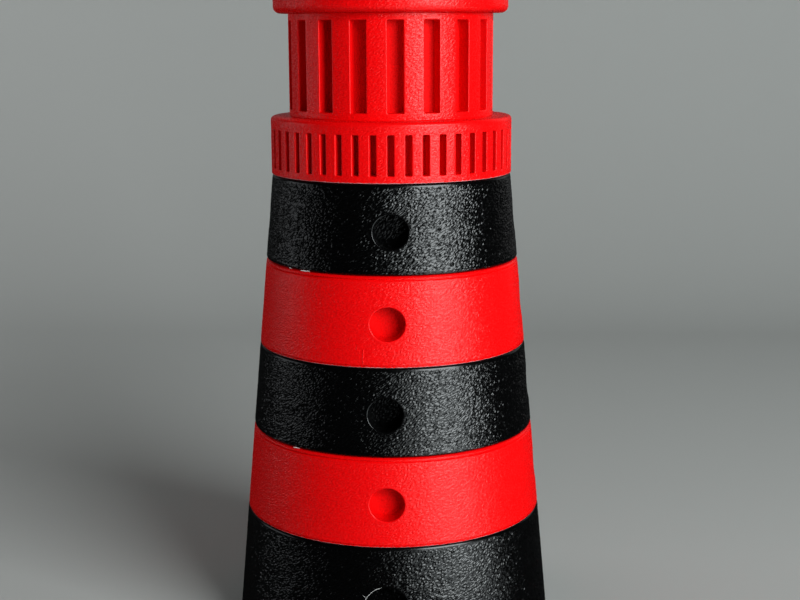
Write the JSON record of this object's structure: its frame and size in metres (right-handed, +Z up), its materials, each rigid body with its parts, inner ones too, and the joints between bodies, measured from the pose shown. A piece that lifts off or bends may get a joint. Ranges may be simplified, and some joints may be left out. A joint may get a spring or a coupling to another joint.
{
  "type": "model lighthouse",
  "caption": "Model lighthouse of stacked printed rings in red and black, with blind round windows, an arched door, a slotted gallery, a slotted lantern room and a domed roof.",
  "frame": {"origin": "centre of the foot, on the surface that the model stands on", "axes": "+Z up along the tower's axis, -Y towards the front with the door and the window row"},
  "size_m": [0.1888, 0.1888, 0.4257],
  "materials": {
    "red_plastic": "fuzzy printed skin, satin",
    "black_plastic": "fuzzy printed skin, glossy"
  },
  "bodies": {
    "root": {"base_ring": "black_plastic", "lower_red_ring": "red_plastic", "middle_black_ring": "black_plastic", "upper_red_ring": "red_plastic", "top_black_ring": "black_plastic", "gallery_ring": "red_plastic", "lantern_room": "red_plastic", "roof_cap": "red_plastic", "finial": "red_plastic"}
  },
  "joints": []
}
